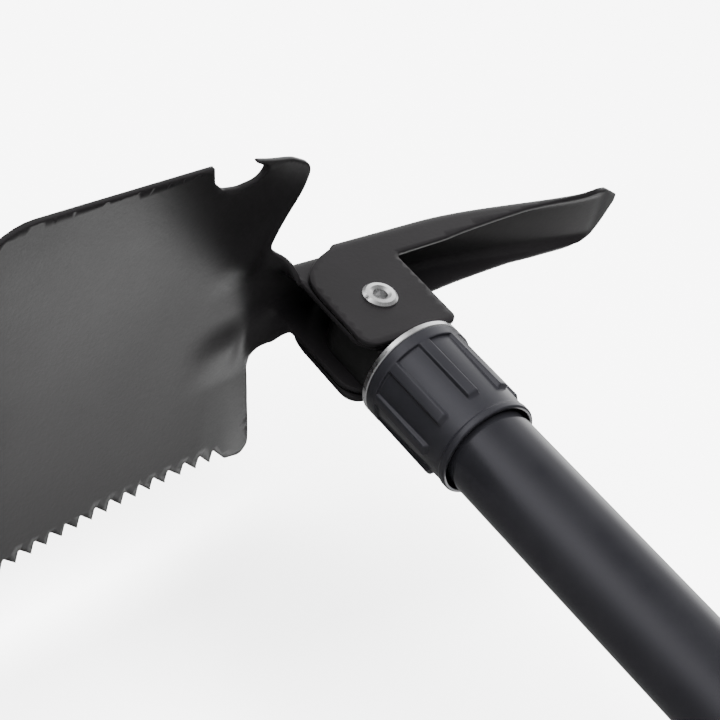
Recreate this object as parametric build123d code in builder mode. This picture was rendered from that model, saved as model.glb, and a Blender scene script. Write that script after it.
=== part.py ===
from build123d import *
from math import cos, radians, sin, sqrt
import os

os.makedirs("parts", exist_ok=True)

# Folding camp shovel: a blade and a pick share one riveted hinge at the top of a tube handle, and a
# screw collar presses a washer against the flats of their ears to lock them.
# Frame, in millimetres: X runs along the handle towards its butt, Y is the way the pick points, Z is
# the axis of the hinge rivet. The origin is on the handle's axis, half way along the bare grip.
# The part stands with the blade and the pick square to the handle, the collar slackened.

# ---- driving dimensions ----
PIVOT_X = -136.0        # hinge rivet, measured from the middle of the grip
TUBE_R = 11.0           # handle tube, outside
TUBE_WALL = 1.2
TUBE_DRAW = 0.2         # the tube is drawn down by this where the collar runs
TUBE_TOP = 36.0         # distances along the handle are measured from the rivet
GRIP_START = 47.0
TUBE_END = 225.0

SHEET = 1.4             # steel sheet of blade and pick
PICK_HALF_W = 9.2       # outside of the pick's channel and ears
PICK_BACK = 22.0        # rivet to the back of the pick's web
PICK_REACH = 97.0       # rivet to the pick's tip
PICK_FLAT = 14.0        # rivet to the locking flats of the pick's ears
PICK_CORNER_R = 10.5    # corner that sweeps past the washer
PICK_LOW_CORNER_R = 6.4
PICK_BACK_CORNER_R = 11.0
PICK_WEB_START = 4.0    # the web begins just past the rivet, the ears are open behind it
PICK_RISE = 4.5         # the web's back rises by this towards the tip
PICK_TIP_HALF_W = 2.4

EAR_INSET = 0.5         # the blade's ears stop this much short of the pick's
BACK_INSET = 1.0        # and its neck lies this much inside the pick's back
BLADE_TILT = 8.0        # degrees, the blade leans towards the handle
BLADE_CURVE_R = 418.0   # cross curve of the blade's front face
BLADE_ROOT = 20.0       # rivet to the line where the blade starts to lean
BLADE_REACH = 131.0     # length of the blade past that line
BLADE_HALF_W = 48.4     # at the shoulders
BLADE_MAX_HALF_W = 52.4
BLADE_WIDEST = 78.0     # the side edges end here and the point begins

TOOTH_PITCH = 4.45
TOOTH_DEPTH = 3.1
TOOTH_RAKE = 0.7        # lean of the steep face
TOOTH_COUNT = 16
TOOTH_FIRST = 5.5

RIVET_R = 3.0
RIVET_ROLL = 1.3        # rolled end, past the shank
RIVET_LIP = 2.2         # preset head, past the shank
RIVET_FIT = 0.06        # radial, between rivet and the turning pieces

EAR_FIT = 0.25          # between the blade's ears and the pick's
TONGUE_FIT = 0.25       # between the blade's ears and the tongue
TONGUE_R = 9.5
TRAVEL_TIGHT = 1.5      # washer travel from the drawn position to the locked one
THREAD_STEP = 0.6       # thread below the tube's bore
THREAD_FIT = 0.05
SWEEP_FIT = 0.3         # between the ears' sweeping corners and the slackened washer
WASHER_THICK = 1.5
COLLAR_GAP = 0.1        # between washer and collar
COLLAR_LEN = 28.0
COLLAR_CLEAR = 0.75     # radial, around the tube
COLLAR_WALL = 0.7
COLLAR_BEAD = 0.25      # rim bead at the lower end
COLLAR_TAPER = 0.55     # the body widens by this towards the top
COLLAR_BAND = 0.8       # height of the top band and the ribs
COLLAR_BAND_LEN = 3.0
RIB_COUNT = 9
RIB_START = 105.0       # degrees round the handle from the pick's side
RIB_W = 3.0
RIB_LEN = 19.0
NUT_WALL = 1.7
NUT_LEN = 9.0

CAP_INSET = 0.2         # cap below the tube's surface
CAP_SKIRT = 6.0
CAP_PLUG = 12.0
LUG_THICK = 6.0
LUG_HALF_W = 8.0
LUG_REACH = 9.0         # cap face to the hole
HOLE_R = 2.5

# ---- derived values ----
TUBE_NECK_R = TUBE_R - TUBE_DRAW
CAP_R = TUBE_R - CAP_INSET
COLLAR_BORE_R = TUBE_R + COLLAR_CLEAR
COLLAR_LOW_R = COLLAR_BORE_R + COLLAR_WALL
COLLAR_RIM_R = COLLAR_LOW_R + COLLAR_BEAD
COLLAR_TOP_R = COLLAR_LOW_R + COLLAR_TAPER
COLLAR_BAND_R = COLLAR_TOP_R + COLLAR_BAND
WASHER_R = COLLAR_BAND_R
THREAD_R = TUBE_R - TUBE_WALL - THREAD_STEP
NUT_R = THREAD_R + NUT_WALL
RIVET_HEAD_R = RIVET_R + RIVET_ROLL
RIVET_CAP_R = RIVET_R + RIVET_LIP
BLADE_FLAT = PICK_FLAT - EAR_INSET
BLADE_CORNER_R = PICK_CORNER_R - 2 * EAR_INSET
BLADE_BACK = PICK_BACK - BACK_INSET
WASHER_TOP = (PICK_FLAT - PICK_CORNER_R) * sqrt(2) + PICK_CORNER_R + SWEEP_FIT
PICK_IN = PICK_HALF_W - SHEET
BLADE_OUT = PICK_IN - EAR_FIT
BLADE_IN = BLADE_OUT - SHEET
TONGUE_HALF = BLADE_IN - TONGUE_FIT
TUBE_IN_R = TUBE_R - TUBE_WALL
TONGUE_TIP = sqrt(THREAD_R ** 2 - TONGUE_HALF ** 2) - 0.1
HINGE_BORE_R = RIVET_R + RIVET_FIT
PICK_EDGE = sqrt(WASHER_R ** 2 - PICK_IN ** 2) + 0.45       # folded, the flanges straddle the collar
NECK_EDGE = sqrt(WASHER_R ** 2 - BLADE_IN ** 2) + 1.1       # and so does the blade's neck
COLLAR_TOP = WASHER_TOP + WASHER_THICK + COLLAR_GAP
COLLAR_END = COLLAR_TOP + COLLAR_LEN
NUT_TOP = COLLAR_TOP + 1.3
LEAN = radians(BLADE_TILT)
NECK_FRONT = BLADE_BACK - SHEET

# Sketch planes through the rivet: side view, plan of the pick, and sections square to the handle.
side = Plane(origin=(PIVOT_X, 0, 0))
plan = Plane(origin=(PIVOT_X - 40, 0, 0), x_dir=(0, 1, 0), z_dir=(1, 0, 0))


def along_handle(distance):
    return Plane(origin=(PIVOT_X + distance, 0, 0), x_dir=(0, 1, 0), z_dir=(1, 0, 0))


# ---- pick: one folded sheet, a channel with two ears, running out flat into a chisel tip ----
# The web's back line: straight behind the ears, rising towards the tip, then curling back.
back_line = [
    (-PICK_BACK, 22.0), (-PICK_BACK + PICK_RISE * 0.55, PICK_REACH - 50),
    (-PICK_BACK + PICK_RISE, PICK_REACH - 24), (-PICK_BACK + PICK_RISE - 0.7, PICK_REACH - 11),
    (-PICK_BACK + 1.0, PICK_REACH),
]
front_line = [(x + SHEET, y) for x, y in back_line]

with BuildPart() as pick_hollow:
    with BuildSketch(side):
        with BuildLine():
            Spline(*front_line, tangents=[(0, 1), (-0.45, 1)])
            Line(front_line[-1], (-PICK_EDGE + 8, PICK_REACH + 2))
            Polyline(
                (-PICK_EDGE + 8, PICK_REACH + 2), (PICK_FLAT + 4, PICK_FLAT + 4), (PICK_FLAT + 4, -PICK_FLAT - 4),
                (-PICK_BACK - 4, -PICK_FLAT - 4), (-PICK_BACK - 4, PICK_WEB_START),
                (SHEET - PICK_BACK, PICK_WEB_START), front_line[0],
            )
        make_face()
    extrude(amount=PICK_IN, both=True)

with BuildPart() as pick:
    with BuildSketch(side):
        with BuildLine():
            Spline(*back_line, tangents=[(0, 1), (-0.45, 1)])
            Line(back_line[0], (-PICK_BACK, PICK_BACK_CORNER_R - PICK_FLAT))
            RadiusArc(
                (-PICK_BACK, PICK_BACK_CORNER_R - PICK_FLAT), (PICK_BACK_CORNER_R - PICK_BACK, -PICK_FLAT),
                -PICK_BACK_CORNER_R,
            )
            Line((PICK_BACK_CORNER_R - PICK_BACK, -PICK_FLAT), (PICK_FLAT - PICK_LOW_CORNER_R, -PICK_FLAT))
            RadiusArc(
                (PICK_FLAT - PICK_LOW_CORNER_R, -PICK_FLAT), (PICK_FLAT, PICK_LOW_CORNER_R - PICK_FLAT),
                -PICK_LOW_CORNER_R,
            )
            Line((PICK_FLAT, PICK_LOW_CORNER_R - PICK_FLAT), (PICK_FLAT, PICK_FLAT - PICK_CORNER_R))
            RadiusArc(
                (PICK_FLAT, PICK_FLAT - PICK_CORNER_R), (PICK_FLAT - PICK_CORNER_R, PICK_FLAT), -PICK_CORNER_R
            )
            Line((PICK_FLAT - PICK_CORNER_R, PICK_FLAT), (1.5 - PICK_EDGE, PICK_FLAT))
            RadiusArc((1.5 - PICK_EDGE, PICK_FLAT), (-PICK_EDGE, PICK_FLAT + 1.5), 1.5)
            Line((-PICK_EDGE, PICK_FLAT + 1.5), (-PICK_EDGE - 0.8, PICK_REACH - 55))
            Spline((-PICK_EDGE - 0.8, PICK_REACH - 55), (-PICK_EDGE - 1.7, PICK_REACH - 39),
                   (-PICK_EDGE - 2.3, PICK_REACH - 19), (-PICK_EDGE - 3.9, PICK_REACH - 10))
            Line((-PICK_EDGE - 3.9, PICK_REACH - 10), front_line[-1])
            Line(front_line[-1], back_line[-1])
        make_face()
    extrude(amount=PICK_HALF_W, both=True)
    add(pick_hollow.part, mode=Mode.SUBTRACT)
    with BuildSketch(plan):
        Polygon(
            (-PICK_FLAT - 5, -PICK_HALF_W), (PICK_REACH - 11, -PICK_HALF_W), (PICK_REACH - 3.5, -PICK_HALF_W * 0.68),
            (PICK_REACH + 2, -PICK_TIP_HALF_W), (PICK_REACH + 2, PICK_TIP_HALF_W),
            (PICK_REACH - 3.5, PICK_HALF_W * 0.68), (PICK_REACH - 11, PICK_HALF_W), (-PICK_FLAT - 5, PICK_HALF_W),
            align=None,
        )
    extrude(amount=80, mode=Mode.INTERSECT)
    with BuildSketch(side):
        Circle(RIVET_R)
    extrude(amount=PICK_HALF_W + 1, both=True, mode=Mode.SUBTRACT)
pick.part.label = "pick"
export_step(pick.part, "parts/pick.step")

# ---- blade: one pressed sheet, curved across, with a saw edge, a bottle opener and two ears ----
lean_dir = (sin(LEAN), -cos(LEAN), 0)
back_dir = (-cos(LEAN), -sin(LEAN), 0)
blade_face = Plane(origin=(PIVOT_X - NECK_FRONT, -BLADE_ROOT, 0), x_dir=lean_dir, z_dir=back_dir)
blade_section = Plane(
    origin=(PIVOT_X - NECK_FRONT - 20 * sin(LEAN), -BLADE_ROOT + 20 * cos(LEAN), 0),
    x_dir=(cos(LEAN), sin(LEAN), 0), z_dir=lean_dir,
)
edge_slope = (BLADE_MAX_HALF_W - BLADE_HALF_W) / (BLADE_WIDEST - TOOTH_FIRST)

with BuildPart() as blade:
    with BuildSketch(blade_face):
        with BuildLine():
            # opener side: rounded shoulder, hook, notch
            Line((-1.8, 26.0), (-4.6, 34.0))
            Spline((-4.6, 34.0), (-3.4, 39.2), (1.6, 43.1), tangents=[(-0.33, 0.94), (0.94, 0.35)])
            Line((1.6, 43.1), (15.6, 48.2))
            Spline((15.6, 48.2), (12.9, 46.4), (10.9, 44.2), (11.2, 41.8), (13.8, 39.9), (18.8, 39.7),
                   (22.9, 42.3), (25.4, 45.2), (27.0, 49.2))
            Line((27.0, 49.2), (BLADE_WIDEST, BLADE_MAX_HALF_W))
            # rounded point
            Spline((BLADE_WIDEST, BLADE_MAX_HALF_W), (101, 42.5), (121, 21.0), (BLADE_REACH, 0), (121, -21.0),
                   (101, -42.5), (BLADE_WIDEST, -BLADE_MAX_HALF_W))
            # saw side, from the point back to the shoulder
            end_u = TOOTH_FIRST + TOOTH_COUNT * TOOTH_PITCH
            Line((BLADE_WIDEST, -BLADE_MAX_HALF_W), (end_u, TOOTH_DEPTH - BLADE_MAX_HALF_W))
            for tooth in range(TOOTH_COUNT, 0, -1):
                tip_u = TOOTH_FIRST + (tooth - 1) * TOOTH_PITCH + TOOTH_RAKE
                tip_w = BLADE_HALF_W + edge_slope * (tip_u - TOOTH_FIRST)
                root_u = TOOTH_FIRST + tooth * TOOTH_PITCH
                root_w = tip_w - TOOTH_DEPTH
                start = (end_u, TOOTH_DEPTH - BLADE_MAX_HALF_W) if tooth == TOOTH_COUNT else (root_u, -root_next)
                Line(start, (tip_u, -tip_w))
                Line((tip_u, -tip_w), (tip_u - TOOTH_RAKE, -root_w))
                root_next = root_w
            Line((TOOTH_FIRST, -root_next), (0.8, -BLADE_HALF_W))
            Spline((0.8, -BLADE_HALF_W), (-3.4, -48.0), (-5.2, -44.0), tangents=[(-1, -0.25), (0.05, 1)])
            Line((-5.2, -44.0), (-1.8, -26.0))
            Line((-1.8, -26.0), (-1.8, 26.0))
        make_face()
    extrude(amount=40, both=True)
    with BuildSketch(blade_section):
        with Locations((BLADE_CURVE_R, 0)):
            Circle(BLADE_CURVE_R + SHEET)
            Circle(BLADE_CURVE_R, mode=Mode.SUBTRACT)
    extrude(amount=BLADE_REACH + 60, mode=Mode.INTERSECT)
    # neck: the sheet draws in from the shoulders and turns up into a channel
    with BuildSketch(Plane(origin=(PIVOT_X, -25.0, 0), x_dir=(1, 0, 0), z_dir=(0, 1, 0))):
        Polygon(
            (-16.8, -22.0), (-18.9, -14.0), (-18.9, 14.0), (-16.8, 22.0), (-18.2, 22.4), (-20.3, 14.0),
            (-20.3, -14.0), (-18.2, -22.4), align=None,
        )
    with BuildSketch(Plane(origin=(PIVOT_X, -PICK_FLAT - 0.4, 0), x_dir=(1, 0, 0), z_dir=(0, 1, 0))):
        Polygon(
            (-NECK_EDGE, -BLADE_IN), (-NECK_FRONT, -BLADE_IN + 1.2), (-NECK_FRONT, BLADE_IN - 1.2),
            (-NECK_EDGE, BLADE_IN), (-NECK_EDGE, BLADE_OUT), (-BLADE_BACK, BLADE_OUT - 0.6),
            (-BLADE_BACK, 0.6 - BLADE_OUT), (-NECK_EDGE, -BLADE_OUT), align=None,
        )
    loft(ruled=True)
    # channel and ears
    with BuildSketch(Plane(origin=(PIVOT_X, -PICK_FLAT - 0.6, 0), x_dir=(1, 0, 0), z_dir=(0, 1, 0))):
        with Locations((-BLADE_BACK + SHEET / 2, 0)):
            Rectangle(SHEET, 2 * BLADE_OUT - 2)
    extrude(amount=PICK_FLAT + 0.6 - 4.0)
    with BuildSketch(side):
        with BuildLine():
            low = BLADE_FLAT - BLADE_CORNER_R
            Line((-BLADE_BACK, -PICK_FLAT - 0.6), (-NECK_EDGE, -PICK_FLAT - 0.6))
            Line((-NECK_EDGE, -PICK_FLAT - 0.6), (-12.0, -BLADE_FLAT))
            Line((-12.0, -BLADE_FLAT), (low, -BLADE_FLAT))
            RadiusArc((low, -BLADE_FLAT), (BLADE_FLAT, -low), -BLADE_CORNER_R)
            Line((BLADE_FLAT, -low), (BLADE_FLAT, low))
            RadiusArc((BLADE_FLAT, low), (low, BLADE_FLAT), -BLADE_CORNER_R)
            Line((low, BLADE_FLAT), (-7.0, BLADE_FLAT))
            Line((-7.0, BLADE_FLAT), (-BLADE_BACK, -4.0))
            Line((-BLADE_BACK, -4.0), (-BLADE_BACK, -PICK_FLAT - 0.6))
        make_face()
    ears = extrude(amount=BLADE_OUT, both=True, mode=Mode.PRIVATE)
    with BuildSketch(side):
        Rectangle(200, 200)
    gap = extrude(amount=BLADE_IN, both=True, mode=Mode.PRIVATE)
    add(ears - gap)
    with BuildSketch(side):
        Circle(HINGE_BORE_R)
    extrude(amount=BLADE_OUT + 1, both=True, mode=Mode.SUBTRACT)
blade.part.label = "blade"
export_step(blade.part, "parts/blade.step")

# ---- hinge stub: a cast tongue between the ears, a thread for the collar, a plug in the tube ----
with BuildPart() as hinge_stub:
    with BuildSketch(side):
        with BuildLine():
            step = WASHER_TOP - TRAVEL_TIGHT - 0.5
            thread_top = WASHER_TOP + 0.1
            Polyline(
                (0, -TONGUE_R), (step, -TONGUE_R), (step, -TONGUE_TIP), (thread_top, -TONGUE_TIP),
                (thread_top, TONGUE_TIP), (step, TONGUE_TIP), (step, TONGUE_R), (0, TONGUE_R),
            )
            ThreePointArc((0, TONGUE_R), (-TONGUE_R, 0), (0, -TONGUE_R))
        make_face()
    extrude(amount=TONGUE_HALF, both=True)
    with BuildSketch(along_handle(WASHER_TOP + 0.1)):
        Circle(THREAD_R)
    extrude(amount=TUBE_TOP - WASHER_TOP - 0.1)
    with BuildSketch(along_handle(TUBE_TOP)):
        Circle(TUBE_IN_R)
    extrude(amount=24)
    with BuildSketch(side):
        Circle(HINGE_BORE_R)
    extrude(amount=TONGUE_HALF + 1, both=True, mode=Mode.SUBTRACT)
    with BuildSketch(side):
        with Locations((TUBE_TOP + 5, 0)):
            Circle(1.5)
    extrude(amount=TUBE_R, both=True, mode=Mode.SUBTRACT)
    chamfer(hinge_stub.edges().group_by(Axis.X)[-1], 0.8)
hinge_stub.part.label = "hinge_stub"
export_step(hinge_stub.part, "parts/hinge_stub.step")

# ---- hinge rivet: semi-tubular, preset domed head below, rolled end with a hollow above ----
with BuildPart() as hinge_rivet:
    with BuildSketch(Plane(origin=(PIVOT_X, 0, 0), x_dir=(1, 0, 0), z_dir=(0, -1, 0))):
        with BuildLine():
            Polyline(
                (0, -PICK_HALF_W - 1.9), (RIVET_CAP_R * 0.45, -PICK_HALF_W - 1.8),
                (RIVET_CAP_R * 0.83, -PICK_HALF_W - 1.2),
                (RIVET_CAP_R, -PICK_HALF_W - 0.4), (RIVET_CAP_R, -PICK_HALF_W), (RIVET_R, -PICK_HALF_W),
                (RIVET_R, PICK_HALF_W), (RIVET_HEAD_R, PICK_HALF_W), (RIVET_HEAD_R, PICK_HALF_W + 0.5),
                (RIVET_HEAD_R - 0.7, PICK_HALF_W + 1.1), (RIVET_HEAD_R - 1.7, PICK_HALF_W + 1.2),
                (RIVET_R - 1.2, PICK_HALF_W + 0.7), (RIVET_R - 1.5, PICK_HALF_W - 1.6), (0, PICK_HALF_W - 1.8), (0, -PICK_HALF_W - 1.9),
            )
        make_face()
    revolve(axis=Axis((PIVOT_X, 0, 0), (0, 0, 1)))
hinge_rivet.part.label = "hinge_rivet"
export_step(hinge_rivet.part, "parts/hinge_rivet.step")

# ---- stub pin: holds the plug in the tube, hidden by the collar ----
with BuildPart() as stub_pin:
    with BuildSketch(side):
        with Locations((TUBE_TOP + 5, 0)):
            Circle(1.5)
    extrude(amount=TUBE_NECK_R - 0.4, both=True)
stub_pin.part.label = "stub_pin"
export_step(stub_pin.part, "parts/stub_pin.step")

# ---- thrust washer: pressed against the ears by the collar ----
with BuildPart() as thrust_washer:
    with BuildSketch(along_handle(WASHER_TOP)):
        Circle(WASHER_R)
        Circle(THREAD_R + THREAD_FIT, mode=Mode.SUBTRACT)
    extrude(amount=WASHER_THICK)
    chamfer(thrust_washer.edges().filter_by(GeomType.CIRCLE).sort_by(SortBy.RADIUS)[-2:], 0.2)
thrust_washer.part.label = "thrust_washer"
export_step(thrust_washer.part, "parts/thrust_washer.step")

# ---- collar nut: threaded metal insert inside the collar ----
with BuildPart() as collar_nut:
    with BuildSketch(along_handle(NUT_TOP)):
        Circle(NUT_R)
        Circle(THREAD_R + THREAD_FIT, mode=Mode.SUBTRACT)
    extrude(amount=NUT_LEN)
collar_nut.part.label = "collar_nut"
export_step(collar_nut.part, "parts/collar_nut.step")

# ---- lock collar: moulded sleeve with grip ribs ----
with BuildPart() as lock_collar:
    with BuildSketch(Plane(origin=(PIVOT_X, 0, 0), x_dir=(1, 0, 0), z_dir=(0, 0, 1))):
        with BuildLine():
            Polyline(
                (COLLAR_TOP, THREAD_R + 0.6), (COLLAR_TOP, COLLAR_BAND_R - 0.3),
                (COLLAR_TOP + 0.3, COLLAR_BAND_R), (COLLAR_TOP + COLLAR_BAND_LEN, COLLAR_BAND_R),
                (COLLAR_TOP + COLLAR_BAND_LEN, COLLAR_TOP_R), (COLLAR_END - 8.5, COLLAR_LOW_R + 0.1),
                (COLLAR_END - 1.8, COLLAR_LOW_R), (COLLAR_END - 1.4, COLLAR_RIM_R),
                (COLLAR_END - 0.3, COLLAR_RIM_R), (COLLAR_END, COLLAR_RIM_R - 0.3),
                (COLLAR_END, COLLAR_BORE_R), (NUT_TOP + NUT_LEN + 1, COLLAR_BORE_R),
                (NUT_TOP + NUT_LEN, NUT_R), (NUT_TOP, NUT_R), (NUT_TOP, THREAD_R + 0.6),
                (COLLAR_TOP, THREAD_R + 0.6),
            )
        make_face()
    revolve(axis=Axis((PIVOT_X, 0, 0), (1, 0, 0)))
    with BuildSketch(along_handle(COLLAR_TOP + COLLAR_BAND_LEN - 0.2)):
        with PolarLocations(COLLAR_TOP_R - 0.2, RIB_COUNT, start_angle=RIB_START):
            Rectangle(1.8, RIB_W)
    extrude(amount=RIB_LEN)
lock_collar.part.label = "lock_collar"
export_step(lock_collar.part, "parts/lock_collar.step")

# ---- handle tube: drawn steel, slightly smaller where the collar runs ----
with BuildPart() as handle_tube:
    with BuildSketch(along_handle(TUBE_TOP)):
        Circle(TUBE_NECK_R)
    extrude(amount=GRIP_START - TUBE_TOP)
    with BuildSketch(along_handle(GRIP_START)):
        Circle(TUBE_R)
    extrude(amount=TUBE_END - GRIP_START)
    with BuildSketch(along_handle(TUBE_TOP)):
        Circle(TUBE_IN_R)
    extrude(amount=TUBE_END - TUBE_TOP, mode=Mode.SUBTRACT)
    with BuildSketch(side):
        with Locations((TUBE_TOP + 5, 0)):
            Circle(1.5)
    extrude(amount=TUBE_R + 1, both=True, mode=Mode.SUBTRACT)
handle_tube.part.label = "handle_tube"
export_step(handle_tube.part, "parts/handle_tube.step")

# ---- end cap: moulded plug with a flat lug and a hanging hole ----
with BuildPart() as end_cap:
    with BuildSketch(along_handle(TUBE_END - CAP_PLUG)):
        Circle(TUBE_IN_R)
    extrude(amount=CAP_PLUG)
    with BuildSketch(along_handle(TUBE_END)):
        Circle(CAP_R)
    extrude(amount=CAP_SKIRT)
    chamfer(end_cap.edges().group_by(Axis.X)[-1], 1.2)
    with BuildSketch(side):
        with Locations((TUBE_END + CAP_SKIRT + LUG_REACH / 2 - 1, 0)):
            Rectangle(LUG_REACH + 2, 2 * LUG_HALF_W)
        with Locations((TUBE_END + CAP_SKIRT + LUG_REACH, 0)):
            Circle(LUG_HALF_W)
            Circle(HOLE_R, mode=Mode.SUBTRACT)
    extrude(amount=LUG_THICK / 2, both=True)
end_cap.part.label = "end_cap"
export_step(end_cap.part, "parts/end_cap.step")
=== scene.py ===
import bpy
import numpy as np
from mathutils import Matrix, Vector
from mathutils.geometry import delaunay_2d_cdt


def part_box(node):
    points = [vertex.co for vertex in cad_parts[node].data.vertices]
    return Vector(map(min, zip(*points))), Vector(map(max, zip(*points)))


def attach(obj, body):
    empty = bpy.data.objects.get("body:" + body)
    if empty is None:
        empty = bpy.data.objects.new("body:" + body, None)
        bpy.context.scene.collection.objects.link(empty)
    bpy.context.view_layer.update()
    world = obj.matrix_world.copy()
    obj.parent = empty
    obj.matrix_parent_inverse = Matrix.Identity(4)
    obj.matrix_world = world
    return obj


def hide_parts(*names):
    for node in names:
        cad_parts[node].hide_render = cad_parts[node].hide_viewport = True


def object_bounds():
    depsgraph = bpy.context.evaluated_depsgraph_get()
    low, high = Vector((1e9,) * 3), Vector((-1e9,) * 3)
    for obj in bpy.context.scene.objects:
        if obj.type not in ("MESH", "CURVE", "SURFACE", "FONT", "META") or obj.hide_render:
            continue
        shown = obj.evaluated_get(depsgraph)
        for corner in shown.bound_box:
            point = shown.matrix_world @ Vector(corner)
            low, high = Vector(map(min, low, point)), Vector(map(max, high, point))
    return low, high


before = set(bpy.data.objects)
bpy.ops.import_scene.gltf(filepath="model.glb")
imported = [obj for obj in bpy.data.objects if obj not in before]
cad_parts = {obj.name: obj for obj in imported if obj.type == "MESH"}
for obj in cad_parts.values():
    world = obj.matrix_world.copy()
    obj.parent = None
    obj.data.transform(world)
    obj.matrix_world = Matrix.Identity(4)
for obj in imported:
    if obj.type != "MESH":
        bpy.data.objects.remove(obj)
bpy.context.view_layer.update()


# ---- Blade ----
# One steel sheet, cut flat with its saw teeth, bottle opener and two ear wings, then pressed: bowed
# across, leaning towards the handle, drawn into a channel at the neck, the wings folded up into ears.
# Satin black powder coat over it, with a fine orange peel, a little greyer in broad clouds.
rivet_low, rivet_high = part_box("hinge_rivet")
PIVOT = round((rivet_low[0] + rivet_high[0]) / 2, 6)     # rivet, along the handle, in metres
SHEET = 1.4             # sheet thickness in millimetres, as are all sizes below until a mesh is made
HOLE_GAP = 0.35         # clear strip round a hole that no inner point falls in
EDGE_GAP = 0.65         # the same along every edge


def rounded(corners, longest=0.8):
    """A closed outline through corners (x, y, radius): straight edges joined by tangent arcs.
    An arc of radius r starts and ends r / tan(half the corner's angle) from the corner."""
    points = []
    for i, (x, y, radius) in enumerate(corners):
        here = np.array([x, y], float)
        before = np.array(corners[i - 1][:2], float) - here
        after = np.array(corners[(i + 1) % len(corners)][:2], float) - here
        reach = min(np.linalg.norm(before), np.linalg.norm(after)) * 0.48
        before /= np.linalg.norm(before)
        after /= np.linalg.norm(after)
        half = 0.5 * np.arccos(np.clip(before @ after, -1, 1))
        radius = min(radius, reach * np.tan(half))
        if radius < 0.05 or half > 1.565:
            points.append(here)
            continue
        middle = (before + after) / np.linalg.norm(before + after) * radius / np.sin(half) + here
        first = here + before * radius / np.tan(half) - middle
        last = here + after * radius / np.tan(half) - middle
        turn = np.arctan2(first[0] * last[1] - first[1] * last[0], first @ last)
        steps = np.linspace(0, turn, max(4, int(abs(turn) / 0.22) + 2))[:, None]
        side = np.array([-first[1], first[0]])
        points.extend(middle + first * np.cos(steps) + side * np.sin(steps))
    points = np.array(points)
    out = []
    for a, b in zip(points, np.roll(points, -1, axis=0)):
        parts = max(1, int(np.ceil(np.linalg.norm(b - a) / longest)))
        out.extend(a + (b - a) * np.arange(parts)[:, None] / parts)
    return np.array(out)


def inside(points, outline):
    """True where a point lies in the outline, by counting the edges crossed going towards +x."""
    x, y = points[:, :1], points[:, 1:]
    x0, y0 = outline.T
    x1, y1 = np.roll(outline, -1, axis=0).T
    crossing = (y0 > y) != (y1 > y)
    at = x0 + (y - y0) * (x1 - x0) / np.where(y1 == y0, 1e-9, y1 - y0)
    return (np.sum(crossing & (x < at), axis=1) % 2) == 1


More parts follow.
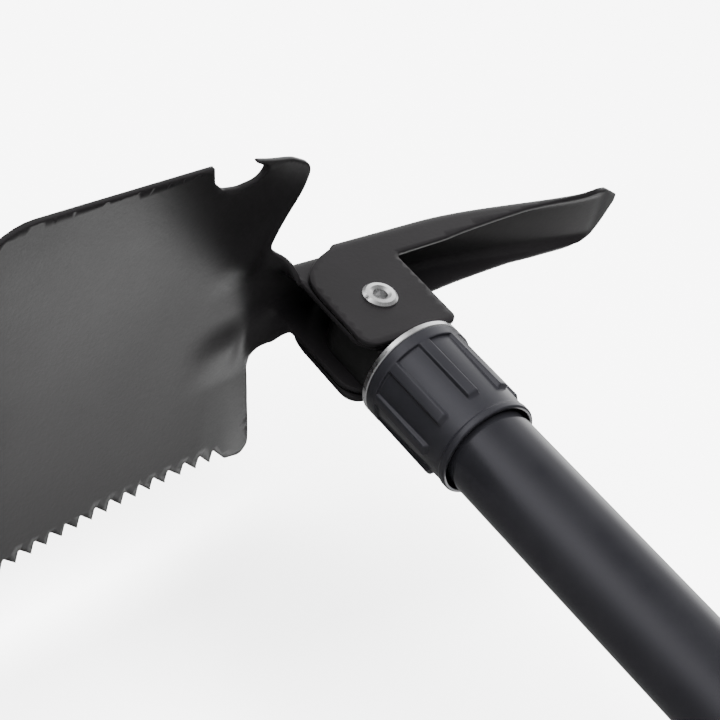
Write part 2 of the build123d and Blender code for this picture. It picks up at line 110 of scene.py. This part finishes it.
def pressed_sheet(name, outline, holes, grids, form, soft=0.22):
    """Fills a flat outline with triangles, bends both faces and closes the cut edge.
    point = form(flat) + normal(flat) * height, with height from -SHEET/2 to SHEET/2; the faces' rims
    are drawn in by soft and joined by two more rings, which rounds the cut edge."""
    loops = [outline, *holes]
    count = sum(len(loop) for loop in loops)
    flat = np.vstack(loops)
    edges, first = [], 0
    for loop in loops:
        edges += [(first + i, first + (i + 1) % len(loop)) for i in range(len(loop))]
        first += len(loop)
    extra = []
    for (u0, u1), (v0, v1), gap in grids:
        u, v = np.meshgrid(np.arange(u0, u1, gap), np.arange(v0, v1, gap * 0.87))
        u = u + (np.arange(len(u)) % 2)[:, None] * gap / 2
        spots = np.stack([u.ravel(), v.ravel()], 1)
        spots = spots[inside(spots, outline)]
        away = np.min(np.linalg.norm(spots[:, None] - flat[None], axis=2), axis=1)
        spots = spots[away > EDGE_GAP]
        for kept in extra:
            apart = np.min(np.linalg.norm(spots[:, None] - kept[None], axis=2), axis=1)
            spots = spots[apart > gap * 0.75]
        extra.append(spots)
    flat = np.vstack([flat, *extra])
    for hole in holes:
        centre, radius = hole.mean(0), np.linalg.norm(hole[0] - hole.mean(0))
        keep = np.linalg.norm(flat - centre, axis=1) > radius + HOLE_GAP
        keep[:count] = True
        flat = flat[keep]
    result = delaunay_2d_cdt([Vector(p) for p in flat], edges, [], 0, 1e-7)
    verts = np.array([tuple(v) for v in result[0]])
    tris = np.array([f[:3] for f in result[2]])
    mid = verts[tris].mean(1)
    keep = inside(mid, outline)
    for hole in holes:
        keep &= np.linalg.norm(mid - hole.mean(0), axis=1) > np.linalg.norm(hole[0] - hole.mean(0)) * 0.99
    tris = tris[keep]
    area = np.cross(verts[tris[:, 1]] - verts[tris[:, 0]], verts[tris[:, 2]] - verts[tris[:, 0]])
    tris[area < 0] = tris[area < 0][:, ::-1]
    old = {old: new for new, group in enumerate(result[3]) for old in group}
    rings, first = [], 0
    for loop in loops:
        rings.append(np.array([old[first + i] for i in range(len(loop))]))
        first += len(loop)
    drawn = verts.copy()
    for ring in rings:
        here = verts[ring]
        step = np.roll(here, -1, 0) - np.roll(here, 1, 0)
        out = np.stack([step[:, 1], -step[:, 0]], 1) / np.linalg.norm(step, axis=1)[:, None]
        drawn[ring] = here - out * soft

    def bent(at, height):
        d = 0.02
        du = form(at + [d, 0]) - form(at - [d, 0])
        dv = form(at + [0, d]) - form(at - [0, d])
        normal = np.cross(du, dv)
        normal /= np.linalg.norm(normal, axis=1)[:, None]
        return form(at) + normal * height

    total = len(verts)
    layers = [bent(drawn, SHEET / 2), bent(drawn, -SHEET / 2)]
    faces = [*map(tuple, tris), *map(tuple, tris[:, ::-1] + total)]
    first = 2 * total
    for ring in rings:
        n = len(ring)
        layers += [bent(verts[ring], SHEET / 2 - soft), bent(verts[ring], soft - SHEET / 2)]
        a, b, c, d = ring, first + np.arange(n), first + n + np.arange(n), ring + total
        for low, high in ((a, b), (b, c), (c, d)):
            quads = np.stack([low, high, np.roll(high, -1), np.roll(low, -1)], 1)
            faces += map(tuple, quads)
        first += 2 * n
    points = np.vstack(layers) / 1000 + [PIVOT, 0, 0]
    mesh = bpy.data.meshes.new(name)
    mesh.from_pydata(points.tolist(), [], [tuple(int(i) for i in f) for f in faces])
    mesh.polygons.foreach_set("use_smooth", np.ones(len(mesh.polygons), bool))
    mesh.validate()
    made = bpy.data.objects.new(name, mesh)
    bpy.context.scene.collection.objects.link(made)
    return made


def ease(value, start, end):
    """3t^2 - 2t^3, with t going from 0 at start to 1 at end and held outside."""
    t = np.clip((value - start) / (end - start), 0, 1)
    return t * t * (3 - 2 * t)


def blade_form(flat):
    """Middle surface of the pressed blade, from (distance u from the neck line, distance s across).
    z = integral of cos(angle) over s and height = integral of sin(angle), where angle = fold(u) times
    (rise across the bend - fall beyond it) + the bow s / 418; the spine leans 8 degrees past the neck.
    Past |s| = 12 what the fold lifted and drew in eases away, and the shoulders reach
    4.4 mm nearer the neck."""
    u, s = flat[:, :1], flat[:, 1:]
    part = (np.arange(32) + 0.5) / 32
    wide = np.abs(s)
    free = u + 3.0 * ease(wide, 39.5, 42.0)
    below = ease(free, -6.3, -5.4)
    far = u - 4.4 * ease(wide, 13.0, 32.0) * below * (1 - ease(u, -5.0, 24.0))
    lean = np.radians(8.0) * ease(far * part, -4.0, 6.0)
    spine_x = -20.3 + (np.sin(lean) * far).mean(1)
    spine_y = -20.0 - (np.cos(lean) * far).mean(1)
    channel = 0.2 * ease(u, 0.0, 6.0) * (1 - ease(u, 6.0, 20.0))
    fold = np.pi / 2 * np.exp(-np.maximum(free + 6.2, 0) / 2.6) + channel

    def turned(across):
        fall = ease(free, -6.3, -2.3 - 3.0 * ease(wide, 12.0, 16.0))
        return fold * (np.clip((across - 3.3) / 5.6, 0, 1) - fall * ease(across, 8.0, 16.0))

    across = wide * part
    angle = turned(across) + across / 418 * ease(u, -5.0, 12.0)
    loose = ease(wide[:, 0], 12.0, 26.0) * below[:, 0]
    lifted = 16 * np.sin(turned(16 * part)).mean(1)
    drawn = 16 - 16 * np.cos(turned(16 * part)).mean(1)
    width = (np.cos(angle) * s).mean(1) + drawn * loose * np.sign(s[:, 0])
    height = (np.sin(angle) * wide).mean(1) - lifted * loose
    tilt = np.radians(8.0) * ease(far[:, 0], -4.0, 6.0)
    return np.stack([spine_x + height * np.cos(tilt), spine_y + height * np.sin(tilt), width], 1)


def teeth():
    """Sixteen saw teeth between seventeen gullets along the -s side, from the point's end to the neck's: tip
    i stands 0.65 beyond gullet i, so the neck side is steep. Both rows bulge by 0.0012 (u - 20)^2, and by
    1 mm more at the shoulder, where the gullets also shift 0.65 towards the point."""
    out = []
    for i in range(17):
        gullet = 6.2 + 4.47 * i
        bulge = 0.0012 * (gullet - 20) ** 2 + ease(gullet, 13.0, 6.0)
        gullet += 0.65 * ease(gullet, 15.0, 6.0)
        out.append((gullet, -46.35 - bulge, 0.3))
        if i < 16:
            out.append((gullet + 0.65, -50.0 - bulge, 0.1))
    return sorted(out, reverse=True)


ear_wing = [(-19.5, 8.0, 1.5), (-33.5, 18.6, 4.0), (-33.5, 39.1, 6.2), (-6.4, 39.1, 6.2), (-6.4, 12.6, 1.0)]
blade_cut = rounded([
    *ear_wing, (0.0, 13.0, 3.0), (-3.3, 36.4, 4.4), (3.1, 40.5, 12.0), (16.3, 46.3, 0.3),
    (10.9, 42.2, 2.0), (12.3, 38.9, 2.6), (17.0, 38.5, 5.0), (21.6, 39.8, 3.0), (25.0, 43.2, 3.0),
    (26.7, 48.2, 0.3),
    (79.0, 52.4, 12.0), (116.0, 30.0, 40.0), (131.0, 0.0, 16.0), (116.0, -30.0, 40.0), (80.0, -52.4, 12.0),
    *teeth(), (1.8, -53.9, 2.0), (-3.6, -55.7, 3.0), (-5.2, -52.0, 3.5), (-4.4, -47.9, 12.0),
    (-1.5, -36.0, 20.0),
    (-0.2, -29.8, 15.0), (-0.2, -23.9, 8.0), (-1.2, -20.0, 6.0), (-3.3, -15.9, 5.0), (-5.6, -13.0, 1.2),
    (-6.4, -14.4, 1.0),
    *[(u, -s, r) for u, s, r in ear_wing[-2::-1]],
])
around = np.linspace(0, 2 * np.pi, 40, endpoint=False)[::-1]
blade_holes = [np.stack([-20 + 3.15 * np.cos(around), side * 25.64 + 3.15 * np.sin(around)], 1)
               for side in (-1, 1)]
blade = pressed_sheet("blade_sheet", blade_cut[::-1], blade_holes,
                      [((-34, 16), (-41, 41), 0.9), ((-34, 131), (-53, 53), 2.4)], blade_form)
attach(blade, "blade")
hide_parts("blade")


class Value:
    """A shader socket that can be added, subtracted, multiplied and divided like a number."""

    def __init__(self, tree, socket):
        self.tree, self.socket = tree, socket

    def math(self, operation, *others, flip=False):
        node = self.tree.nodes.new("ShaderNodeMath")
        node.operation = operation
        inputs = [self, *others]
        if flip:
            inputs = [*others, self]
        for slot, value in zip(node.inputs, inputs):
            if isinstance(value, Value):
                self.tree.links.new(value.socket, slot)
            else:
                slot.default_value = value
        return Value(self.tree, node.outputs[0])

    def __add__(self, other):
        return self.math("ADD", other)

    def __radd__(self, other):
        return self.math("ADD", other)

    def __sub__(self, other):
        return self.math("SUBTRACT", other)

    def __rsub__(self, other):
        return self.math("SUBTRACT", other, flip=True)

    def __mul__(self, other):
        return self.math("MULTIPLY", other)

    def __rmul__(self, other):
        return self.math("MULTIPLY", other)

    def __truediv__(self, other):
        return self.math("DIVIDE", other)

    def __rtruediv__(self, other):
        return self.math("DIVIDE", other, flip=True)


class Nodes:
    """A node tree that nodes are added to."""

    def __init__(self, tree):
        self.tree = tree

    def node(self, kind, settings=None, output=0, **sockets):
        """Adds a node. A socket is given by its name, with _ for a space, or as at_ and its number."""
        node = self.tree.nodes.new(kind)
        for key, value in (settings or {}).items():
            setattr(node, key, value)
        for key, value in sockets.items():
            slot = node.inputs[int(key[3:]) if key.startswith("at_") else key.replace("_", " ")]
            if isinstance(value, Value):
                self.tree.links.new(value.socket, slot)
            else:
                slot.default_value = value
        return Value(self.tree, node.outputs[output])


class Finish(Nodes):
    """One material: a Principled shader, and the nodes that feed it."""

    def __init__(self, name, **fixed):
        self.material = bpy.data.materials.new(name)
        self.material.use_nodes = True
        super().__init__(self.material.node_tree)
        self.shader = self.tree.nodes["Principled BSDF"]
        for key, value in fixed.items():
            self.shader.inputs[key.replace("_", " ")].default_value = value

    def place(self):
        return self.node("ShaderNodeTexCoord", output="Object")

    def noise(self, scale, detail=3.0):
        return self.node("ShaderNodeTexNoise", Vector=self.place(), Scale=scale, Detail=detail,
                         Roughness=0.55, output="Fac")

    def ramp(self, value, low, high, start, end):
        return self.node("ShaderNodeMapRange", {"clamp": True}, Value=value, **{
            "From_Min": low, "From_Max": high, "To_Min": start, "To_Max": end})

    def blend(self, value, dark, light):
        return self.node("ShaderNodeMix", {"data_type": "RGBA"}, output=2, at_0=value,
                         at_6=(*dark, 1.0), at_7=(*light, 1.0))

    def feed(self, name, value):
        self.tree.links.new(value.socket, self.shader.inputs[name])

    def bump(self, height, strength, distance):
        self.feed("Normal", self.node("ShaderNodeBump", Height=height, Strength=strength, Distance=distance))

    def on(self, *objects):
        for thing in objects:
            thing.data.materials.clear()
            thing.data.materials.append(self.material)


powder = Finish("powder_coat", Specular_IOR_Level=0.09)
clouds = powder.noise(22.0, 4.0)
grain = powder.noise(2600.0, 2.0)
peel = powder.noise(900.0, 2.0)
thin = powder.ramp(clouds, 0.3, 0.7, 0.0, 1.0)
powder.feed("Base Color", powder.blend(thin, (0.0028, 0.0026, 0.0028), (0.0045, 0.0042, 0.0045)))
worn = powder.ramp(clouds, 0.25, 0.75, 0.34, 0.42)
powder.feed("Roughness", worn + powder.ramp(grain, 0.3, 0.7, -0.03, 0.03))
powder.bump(peel + grain * 0.4, 0.25, 0.00008)
powder.on(blade)


# ---- Pick ----
# One steel sheet folded into a channel whose two flanges grow into the outer ears. Towards the tip the
# flanges shrink to a lip and lie down, and the web narrows to a chisel edge that curls back. It has
# the blade's coat.
def pick_form(flat):
    """Middle surface of the folded pick, from (distance y from the rivet, distance s across).
    z and height are the integrals of cos and sin of fold(y) times the rise across the bend, on a web
    whose back lies at -21.5, rises 6.4 towards the tip and curls back up to 5.4 at the end."""
    y, s = flat[:, :1], flat[:, 1:]
    part = (np.arange(32) + 0.5) / 32
    fold = np.pi / 2 * (1 - ease(y, 76.0, 93.0))
    angle = fold * np.clip((np.abs(s) * part - 5.5) / 4.71, 0, 1)
    web = -21.5 + 6.4 * ease(y[:, 0], 28.0, 88.0) - 5.4 * ease(y[:, 0], 84.0, 104.0)
    return np.stack([web + (np.sin(angle) * np.abs(s)).mean(1), y[:, 0], (np.cos(angle) * s).mean(1)], 1)


def ear(x):
    """Distance across the flat sheet to where the ear's flank reaches x."""
    return x + 21.5 - 3.0 + 10.21


half = [(1.8, 8.2, 0.7), (-0.4, 9.4, 3.0), (-5.3, 11.2, 12.0), (-9.4, 13.8, 9.0), (-12.6, 17.2, 7.0),
        (-13.4, 22.0, 14.0), (-13.7, ear(13.7), 4.2), (13.5, ear(13.7), 2.6), (13.6, ear(-10.4), 0.5),
        (14.4, 16.9, 1.5), (30.4, 16.3, 30.0), (44.2, 13.9, 30.0), (58.8, 11.0, 30.0), (70.0, 9.8, 20.0),
        (82.6, 8.9, 10.0), (87.3, 7.5, 4.0), (90.8, 5.2, 6.0), (96.4, 1.1, 0.6)]
pick_cut = rounded([*half, *[(y, -s, r) for y, s, r in half[::-1]]])
pick_holes = [np.stack([3.0 * np.cos(around), side * ear(0) + 3.0 * np.sin(around)], 1) for side in (-1, 1)]
pick = pressed_sheet("pick_sheet", pick_cut[::-1], pick_holes,
                     [((-15, 99), (-12, 12), 0.9), ((-15, 99), (-44, 44), 1.8)], pick_form)
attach(pick, "pick")
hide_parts("pick")
powder.on(pick)


# ---- Lock collar ----
# Moulded black sleeve: a smooth band at the top, nine raised grip ribs with square ends below it, a
# plain waist and a bead round the lower lip. It slides and turns on the handle's thread.
def lathe(name, profile, ribs, turns=432):
    """A closed surface of revolution about the handle: (x, r cos a, r sin a) along a closed profile of
    (x, r) points, with r raised by ribs(x, a)."""
    x, r = np.array(profile).T
    a = np.linspace(0, 2 * np.pi, turns, endpoint=False)
    grid_x = np.repeat(x[:, None], turns, 1)
    grid_r = np.repeat(r[:, None], turns, 1)
    grid_r = grid_r + ribs(grid_x, grid_r, a[None])
    grid_y, grid_z = grid_r * np.cos(a), grid_r * np.sin(a)
    points = np.stack([grid_x / 1000 + PIVOT, grid_y / 1000, grid_z / 1000], 2).reshape(-1, 3)
    i = np.arange(len(x))[:, None] * turns
    j = np.arange(turns)[None]
    below = (np.arange(len(x))[:, None] + 1) % len(x) * turns
    quads = np.stack([i + j, i + (j + 1) % turns, below + (j + 1) % turns, below + j], 2).reshape(-1, 4)
    mesh = bpy.data.meshes.new(name)
    mesh.from_pydata(points.tolist(), [], quads.tolist())
    mesh.polygons.foreach_set("use_smooth", np.ones(len(quads), bool))
    made = bpy.data.objects.new(name, mesh)
    bpy.context.scene.collection.objects.link(made)
    return made


def dense(points, gap=0.35, soft=0.18):
    """The profile with each corner rounded by three close points and each edge divided evenly."""
    points = np.array(points, float)
    before, after = np.roll(points, 1, 0) - points, np.roll(points, -1, 0) - points
    lb, la = np.linalg.norm(before, axis=1)[:, None], np.linalg.norm(after, axis=1)[:, None]
    cut = np.minimum(soft, 0.4 * np.minimum(lb, la))
    pairs = np.stack([points + before / lb * cut, points + (before / lb + after / la) * cut * 0.29,
                      points + after / la * cut], 1).reshape(-1, 2)
    out = []
    for a, b in zip(pairs, np.roll(pairs, -1, 0)):
        n = max(1, int(np.ceil(np.linalg.norm(b - a) / gap)))
        out.extend(a + (b - a) * np.arange(n)[:, None] / n)
    return np.array(out)


top = round((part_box("lock_collar")[0][0] - PIVOT) * 1000, 2)
end = top + 28.0


def grip_ribs(x, r, a):
    """Nine ribs 3 mm wide, the first 15 degrees past the rivet's side: outer radius held at 13.72 from
    the band to 19 mm below it, with flanks 0.45 mm wide, only on the outside wall."""
    step = 2 * np.pi / 9
    off = np.abs((a - np.radians(105.0) + step / 2) % step - step / 2) * 13.4
    rib = 1 - ease(off, 1.25, 1.7)
    length = ease(x, top + 2.6, top + 3.0) * (1 - ease(x, top + 21.3, top + 21.75))
    return np.where(r > 12.3, (13.72 - r) * rib * length, 0.0)


collar = lathe("collar_sleeve", dense([
    (top, 9.8), (top, 13.8), (top + 3.0, 13.8), (top + 3.05, 13.0), (end - 5.0, 12.55), (end - 2.0, 12.45),
    (end - 1.7, 12.75), (end - 0.2, 12.75), (end, 12.4), (end, 11.75), (top + 11.3, 11.75),
    (top + 10.3, 10.9), (top + 1.3, 10.9), (top + 1.3, 9.8)]), grip_ribs)
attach(collar, "collar")
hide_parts("lock_collar")

plastic = Finish("moulded_plastic", Specular_IOR_Level=0.3, Specular_Tint=(0.93, 0.92, 1.0, 1.0))
flow = plastic.noise(60.0, 3.0)
texture = plastic.noise(3000.0, 2.0)
plastic.feed("Base Color", plastic.blend(flow, (0.0035, 0.0035, 0.0042), (0.0055, 0.0055, 0.0066)))
plastic.feed("Roughness", plastic.ramp(flow, 0.3, 0.7, 0.30, 0.40))
plastic.bump(texture, 0.15, 0.00004)
plastic.on(collar)

# ---- Collar nut ----
# The threaded brass insert inside the collar, turned from bar and a little tarnished.
brass = Finish("turned_brass", Metallic=1.0, Roughness=0.3)
tarnish = brass.noise(500.0, 3.0)
brass.feed("Base Color", brass.blend(tarnish, (0.55, 0.4, 0.17), (0.72, 0.55, 0.26)))
brass.on(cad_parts["collar_nut"])

# ---- Rivet, thrust washer and stub pin ----
# Bright zinc plated steel, turned or stamped, with a faint mottling of the plating. The rivet joins
# the ears, the washer lies loose on the collar and the pin holds the stub in the tube.
zinc = Finish("bright_zinc", Metallic=1.0)
spots = zinc.noise(420.0, 4.0)
plating = zinc.ramp(spots, 0.35, 0.7, 0.0, 1.0)
zinc.feed("Base Color", zinc.blend(plating, (0.62, 0.62, 0.62), (0.82, 0.82, 0.83)))
zinc.feed("Roughness", zinc.ramp(spots, 0.3, 0.7, 0.22, 0.36))
zinc.bump(zinc.noise(1500.0, 2.0), 0.12, 0.00005)
zinc.on(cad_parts["hinge_rivet"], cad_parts["thrust_washer"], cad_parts["stub_pin"])

# ---- Hinge stub ----
# A zinc casting coloured near black, with a fine grain: the tongue between the ears, the thread
# that the collar runs on, and the plug in the tube. The near black is painted shade: it makes the
# tongue between the ears read as the deep shade that lies there.
cast = Finish("dark_casting_painted_shade", Specular_IOR_Level=0.15)
pits = cast.noise(700.0, 4.0)
# Painted shade: this near-black base colour stands in for the shade between the ears.
cast.feed("Base Color", cast.blend(pits, (0.003, 0.003, 0.003), (0.006, 0.006, 0.006)))
cast.feed("Roughness", cast.ramp(pits, 0.3, 0.7, 0.45, 0.6))
cast.bump(pits, 0.3, 0.0001)
cast.on(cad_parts["hinge_stub"])

# ---- Handle tube ----
# Drawn steel tube under glossy black paint, with a slight haze and unevenness in the paint.
gloss = Finish("gloss_paint", Specular_IOR_Level=0.19, Specular_Tint=(0.93, 0.91, 1.0, 1.0))
haze = gloss.noise(90.0, 3.0)
gloss.feed("Base Color", gloss.blend(haze, (0.003, 0.003, 0.0036), (0.005, 0.005, 0.0058)))
gloss.feed("Roughness", gloss.ramp(haze, 0.3, 0.7, 0.16, 0.24))
gloss.bump(gloss.noise(700.0, 2.0), 0.06, 0.00005)
gloss.on(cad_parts["handle_tube"])

# ---- End cap ----
# The plug at the butt, moulded in the collar's black plastic and pushed into the tube.
plastic.on(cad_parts["end_cap"])

# ---- Floor and light ----
# A plain pale floor under the tool, a dim surround with soft round glows, and a square lamp overhead.
# Gloss sees neither the floor nor the lamp, only the surround, so the glow below lights the blade.
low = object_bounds()[0]
floor_mesh = bpy.data.meshes.new("floor")
reach = 6.0
corners = [(-reach, -reach, 0), (reach, -reach, 0), (reach, reach, 0), (-reach, reach, 0)]
floor_mesh.from_pydata(corners, [], [(0, 1, 2, 3)])
floor = bpy.data.objects.new("floor", floor_mesh)
floor.location.z = low[2] - 0.02
floor.visible_glossy = False
bpy.context.scene.collection.objects.link(floor)
pale = Finish("pale_floor", Roughness=0.9, Base_Color=(0.92, 0.92, 0.92, 1.0))
pale.on(floor)

world = bpy.data.worlds.new("surround")
world.use_nodes = True
sky = Nodes(world.node_tree)
direction = sky.node("ShaderNodeTexCoord", output="Generated")


def glow(x, y, z, width):
    """exp((d . a - 1) / width^2): a soft round patch of light around direction a."""
    size = (x * x + y * y + z * z) ** 0.5
    along = sky.node("ShaderNodeVectorMath", {"operation": "DOT_PRODUCT"}, output="Value", at_0=direction,
                     at_1=(x / size, y / size, z / size))
    return ((along - 1.0) / (width * width)).math("EXPONENT")


light = (0.3 + 4.0 * glow(-0.55, -0.62, 0.56, 0.34) + 3.0 * glow(-0.5, 0.86, 0.0, 0.32)
         + 1.5 * glow(-0.55, 0.6, 0.58, 0.2) + 0.4 * glow(0.9, -0.3, 0.3, 0.4)
         + 11.0 * glow(0.37, 0.61, -0.7, 0.12))
sky.tree.links.new(light.socket, world.node_tree.nodes["Background"].inputs["Strength"])
world.node_tree.nodes["Background"].inputs["Color"].default_value = (1.0, 1.0, 1.0, 1.0)
bpy.context.scene.world = world

lamp_data = bpy.data.lights.new("overhead", "AREA")
lamp_data.shape = "SQUARE"
lamp_data.size = 2.4
lamp_data.energy = 400.0
lamp = bpy.data.objects.new("overhead", lamp_data)
lamp.location = (-0.1, 0.0, 1.7)
lamp.visible_glossy = False
bpy.context.scene.collection.objects.link(lamp)

# ---- Camera ----
# Long lens above the butt's side of the tool, rolled a little to the right.
back = Vector((0.54569, -0.57319, 0.61129)).normalized()
up = Vector((-0.60682, 0.23279, 0.75999)).normalized()
right = up.cross(back).normalized()
up = back.cross(right)
camera_data = bpy.data.cameras.new("camera")
camera_data.lens = 105.47
camera_data.sensor_width = 36.0
camera_data.shift_y = -60.0 / 720.0
camera_data.clip_start = 0.01
camera = bpy.data.objects.new("camera", camera_data)
stand = Matrix((right, up, back)).transposed().to_4x4()
stand.translation = Vector((PIVOT + 0.26622, -0.28568, 0.30805))
camera.matrix_world = stand
bpy.context.scene.collection.objects.link(camera)
bpy.context.scene.camera = camera
